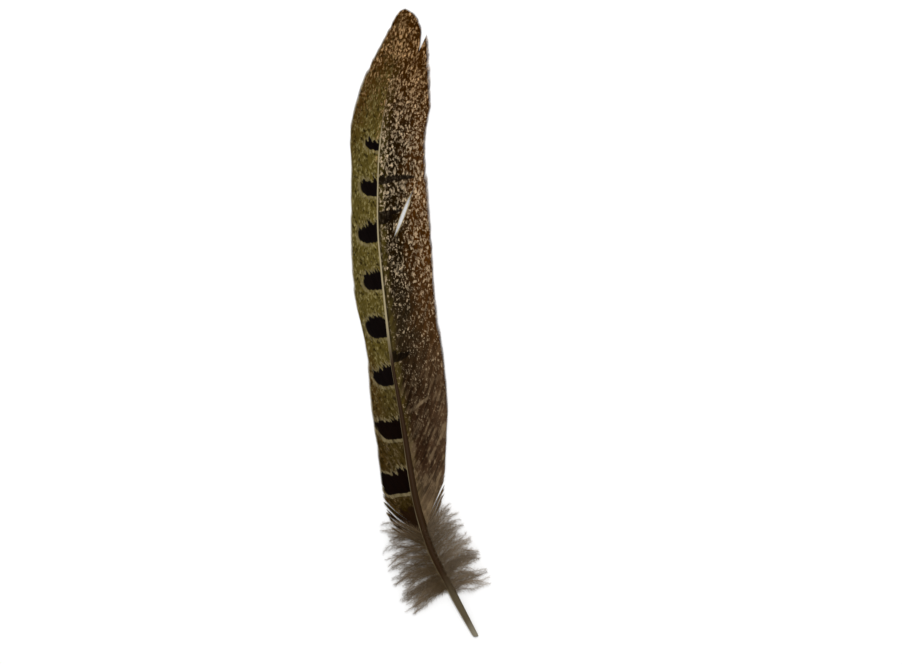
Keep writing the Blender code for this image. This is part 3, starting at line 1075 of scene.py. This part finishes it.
def down_tree():
    """Wavy stems that carry fine fibres all along."""
    tree = GeometryTree(
        "Down",
        Object=["Section", "Fibre"],
        Int=["Points on a stem", "Seed"],
        Float=["Stem radius", "Fibre spacing", "Shortest fibre", "Longest fibre", "Rest height"],
        Material=["Material"],
    )
    add, given = tree.nodes.add, tree.inputs
    curves, part, course = tree.strands(given["Geometry"], given["Points on a stem"])
    phase = tree.attribute("chance", vector=False) * STEM_PHASES
    wave = (part * STEM_WAVES + phase).compute("SINE") * part
    curves = tree.lay(curves, course + tree.attribute("sway") * wave)
    radius = given["Stem radius"] * (1 - part * STEM_TAPER)
    stems = tree.sweep(curves, tree.shape("Section"), radius)
    sockets = {"Curve": curves, "Length": given["Fibre spacing"]}
    points = add("GeometryNodeCurveToPoints", {"mode": "LENGTH"}, sockets)

    def chance(low, high, salt):
        sockets = {"Min_001": low, "Max_001": high, "Seed": given["Seed"] + salt}
        return add("FunctionNodeRandomValue", {"data_type": "FLOAT"}, sockets)["Value_001"]

    turn = add("FunctionNodeAlignRotationToVector", {"axis": "Z"}, {"Vector": points["Tangent"]})[0]
    spin, tilt = chance(0.0, math.tau, 1), chance(*FIBRE_TILT, 2)
    for axis, angle in (((0.0, 0.0, 1.0), spin), ((0.0, 1.0, 0.0), tilt)):
        change = add("FunctionNodeAxisAngleToRotation", {}, {"Axis": axis, "Angle": angle})[0]
        sockets = {"Rotation": turn, "Rotate By": change}
        turn = add("FunctionNodeRotateRotation", {"rotation_space": "LOCAL"}, sockets)[0]
    ending = 1 - tree.attribute("part", vector=False) ** 3 * FIBRE_FALL
    size = chance(given["Shortest fibre"], given["Longest fibre"], 3) * ending
    sockets = {
        "Points": points["Points"],
        "Instance": tree.shape("Fibre"),
        "Rotation": turn,
        "Scale": tree.nodes.vector(size, size, size),
    }
    fibres = add("GeometryNodeInstanceOnPoints", {}, sockets)[0]
    fibres = add("GeometryNodeRealizeInstances", {}, {"Geometry": fibres})[0]
    join = tree.tree.nodes.new("GeometryNodeJoinGeometry")
    for geometry in (stems, fibres):
        tree.tree.links.new(geometry.socket, join.inputs[0])
    joined = Wire(tree.nodes, join.outputs[0])
    x, y, z = add("GeometryNodeInputPosition")[0].parts()
    rest = given["Rest height"]
    pressed = (z.least(rest) / rest - 1).compute("EXPONENT") * rest + (z - rest).most(0.0)
    sockets = {"Geometry": joined, "Position": tree.nodes.vector(x, y, pressed)}
    tree.finish(add("GeometryNodeSetPosition", {}, sockets)[0], given["Material"])
    return tree


def make_down(side, sizes, colours):
    section, fibre = section_object("stem_section", round_corners(STEM_SIDES)), fibre_object()
    values = {
        "Section": section,
        "Fibre": fibre,
        "Points on a stem": STEM_POINTS,
        "Stem radius": STEM_RADIUS,
        "Fibre spacing": sizes.fibre_spacing,
        "Shortest fibre": FIBRE_LENGTH[0],
        "Longest fibre": FIBRE_LENGTH[1],
        "Rest height": REST_HEIGHT,
        "Seed": FIBRE_SEED + side,
        "Material": down_surface(side, colours),
    }
    name = SIDE_WORDS[side] + "_down"
    down = down_tree().run(down_seeds(side, sizes), name, values)
    bpy.data.objects.remove(section)
    bpy.data.objects.remove(fibre)
    dress(down)


def down_surface(side, colours):
    """Soft grey-brown fibres, paler towards the ends."""
    material, nodes, shader = new_material(SIDE_WORDS[side] + "_down")
    ends = nodes.read("part").step(0.1, 0.85) * nodes.read("root").step(40.0, 30.0)
    color = nodes.layers(colours.down, (colours.down_end, ends * 0.6 + PALENESS[side]))
    color = color * (nodes.read("chance") * 0.5 + 0.75)
    feed(nodes, shader, Base_Color=color, Roughness=0.9, Specular_IOR_Level=0.02)
    return material


def length_property(name, default, description):
    settings = {"default": default, "unit": "LENGTH", "precision": 6}
    return FloatProperty(name=name, description=description, **settings)


class FeatherSizes(bpy.types.PropertyGroup):
    barb_spacing: length_property(
        "Barb spacing", 0.0004, "Distance between neighbouring barbs along the shaft"
    )
    barb_points: IntProperty(
        name="Points on a barb", description="Sections that each barb is swept through", default=14
    )
    slit_width: length_property(
        "Slit width", 0.0011, "Widest place of the open slit in the wide vane"
    )
    groove_depth: FloatProperty(
        name="Groove depth",
        description="Depth of the groove under the shaft, as part of its radius",
        default=0.35,
    )
    down_stems: IntProperty(
        name="Stems of down", description="Stems of down on each side of the shaft", default=66
    )
    fibre_spacing: length_property(
        "Fibre spacing", 0.000056, "Distance between the fibres along a stem of down"
    )


def colour_property(name, code, description):
    return FloatVectorProperty(
        name=name, description=description, default=linear(code), subtype="COLOR", size=3
    )


class FeatherColours(bpy.types.PropertyGroup):
    olive: colour_property("Olive", "5c4f20", "Ground of the narrow vane")
    umber: colour_property("Umber", "3c2d10", "Ground of the lowest part of the narrow vane")
    dark_brown: colour_property("Dark brown", "1c1000", "Ground of the wide vane")
    rust: colour_property("Rust", "4c2a04", "Ground along the outer margins")
    tip_brown: colour_property("Tip brown", "3c2000", "Ground of the tip")
    fleck: colour_property("Fleck", "cdb796", "Flecks on the wide vane")
    tip_fleck: colour_property("Tip fleck", "c29b6c", "Flecks at the tip and the margins")
    olive_fleck: colour_property("Olive fleck", "a99b66", "Fine light strokes on the narrow vane")
    dull_fleck: colour_property("Dull fleck", "7d6a50", "Flecks on the lowest part of the vanes")
    dusk: colour_property("Dusk", "4a3223", "Ground of the lowest part of the wide vane")
    underside: colour_property("Underside", "6e6350", "Dull lower side of the vanes")
    speck: colour_property("Speck", "211600", "Small dark specks on the narrow vane")
    rim: colour_property("Rim", "b3a47c", "Pale rim of the narrow vane")
    ink: colour_property("Ink", "0d0706", "Black spots")
    brown_ink: colour_property("Brown ink", "0d0401", "Lowest black spots")
    brown_spot: colour_property("Brown spot", "1f1007", "Brown spot above the down")
    bar_and_shade: colour_property("Bar", "120a04", "Dark bars on the wide vane")
    pale_horn: colour_property("Pale horn", "96896b", "Upper part of the shaft")
    dark_horn: colour_property("Dark horn", "291805", "Lower part of the shaft")
    quill: colour_property("Quill", "4f4532", "Bare quill")
    quill_end: colour_property("Quill end", "7a7362", "End of the bare quill")
    down: colour_property("Down", "5c4b34", "Stems and fibres of down")
    down_end: colour_property("Down ends", "8a7b68", "Ends of the down")


class FEATHER_OT_shaft(bpy.types.Operator):
    """Make the quill and the shaft"""

    bl_idname = "feather.shaft"
    bl_label = "Shaft"

    def execute(self, context):
        make_shaft(context.scene.feather_sizes, context.scene.feather_colours)
        return {"FINISHED"}


class FEATHER_OT_vanes(bpy.types.Operator):
    """Make both vanes from their barbs"""

    bl_idname = "feather.vanes"
    bl_label = "Vanes"

    def execute(self, context):
        for side in (LEFT, RIGHT):
            make_vane(side, context.scene.feather_sizes, context.scene.feather_colours)
        return {"FINISHED"}


class FEATHER_OT_down(bpy.types.Operator):
    """Make the down on both sides of the quill"""

    bl_idname = "feather.down"
    bl_label = "Down"

    def execute(self, context):
        for side in (LEFT, RIGHT):
            make_down(side, context.scene.feather_sizes, context.scene.feather_colours)
        return {"FINISHED"}


class FEATHER_OT_stage(bpy.types.Operator):
    """Make the floor, the light and the camera"""

    bl_idname = "feather.stage"
    bl_label = "Stage"

    def execute(self, context):
        make_floor()
        make_light()
        make_camera()
        return {"FINISHED"}


def make_floor():
    mesh = bpy.data.meshes.new("floor")
    corners = [(x * FLOOR_HALF, y * FLOOR_HALF, 0) for x, y in ((-1, -1), (1, -1), (1, 1), (-1, 1))]
    mesh.from_pydata(corners, [], [(0, 1, 2, 3)])
    floor = link_object("floor", mesh)
    material, nodes, shader = new_material("floor_paper")
    feed(nodes, shader, Base_Color=(0.9, 0.9, 0.9, 1), Roughness=0.9)
    mesh.materials.append(material)


def make_light():
    world = bpy.data.worlds.new("room")
    world.use_nodes = True
    background = world.node_tree.nodes["Background"]
    background.inputs["Color"].default_value = (1, 1, 1, 1)
    background.inputs["Strength"].default_value = ROOM_LIGHT
    bpy.context.scene.world = world
    data = bpy.data.lights.new("softbox", "AREA")
    data.shape = "DISK"
    data.size = LAMP_WIDTH
    data.energy = LAMP_POWER
    light = link_object("softbox", data)
    light.location = LAMP_PLACE
    aim = Vector((0, 0, 0)) - light.location
    light.rotation_euler = aim.to_track_quat("-Z", "Y").to_euler()


def photo_places():
    """Metres for one pixel, the feather's lean to the left, and the place in the middle."""
    right = TIP_PIXEL[0] - QUILL_PIXEL[0]
    up = QUILL_PIXEL[1] - TIP_PIXEL[1]
    pixel = LENGTH / math.hypot(right, up)
    lean = math.atan2(-right, up)
    from_quill = (PHOTO_SIZE[0] / 2 - QUILL_PIXEL[0], QUILL_PIXEL[1] - PHOTO_SIZE[1] / 2)
    x = (from_quill[0] * math.cos(lean) + from_quill[1] * math.sin(lean)) * pixel
    y = (from_quill[1] * math.cos(lean) - from_quill[0] * math.sin(lean)) * pixel
    return pixel, lean, (x - BOX_MIDDLE[0], y - BOX_MIDDLE[1])


def make_camera():
    pixel, lean, (x, y) = photo_places()
    data = bpy.data.cameras.new("camera")
    data.lens = LENS
    distance = PHOTO_SIZE[0] * pixel * data.lens / data.sensor_width
    data.clip_start = 0.01
    camera = link_object("camera", data)
    camera.location = (x, y, distance)
    camera.rotation_euler = (0, 0, -lean)
    bpy.context.scene.camera = camera
    bpy.context.scene.view_settings.view_transform = "Standard"


OPERATORS = [FEATHER_OT_shaft, FEATHER_OT_vanes, FEATHER_OT_down, FEATHER_OT_stage]


class FEATHER_PT_panel(bpy.types.Panel):
    """Lists the steps that make the feather, with its sizes and colours"""

    bl_idname = "FEATHER_PT_panel"
    bl_label = "Tail feather"
    bl_space_type = "VIEW_3D"
    bl_region_type = "UI"
    bl_category = "Feather"

    def draw(self, context):
        column = self.layout.column()
        for made in OPERATORS:
            column.operator(made.bl_idname)
        for group in (context.scene.feather_sizes, context.scene.feather_colours):
            for name in type(group).__annotations__:
                column.prop(group, name)


CLASSES = [FeatherSizes, FeatherColours, *OPERATORS, FEATHER_PT_panel]


def register():
    for made in CLASSES:
        bpy.utils.register_class(made)
    bpy.types.Scene.feather_sizes = PointerProperty(type=FeatherSizes)
    bpy.types.Scene.feather_colours = PointerProperty(type=FeatherColours)


def unregister():
    del bpy.types.Scene.feather_sizes
    del bpy.types.Scene.feather_colours
    for made in reversed(CLASSES):
        bpy.utils.unregister_class(made)


def main():
    register()
    bpy.ops.feather.shaft()
    bpy.ops.feather.vanes()
    bpy.ops.feather.down()
    bpy.ops.feather.stage()


if __name__ == "__main__":
    main()
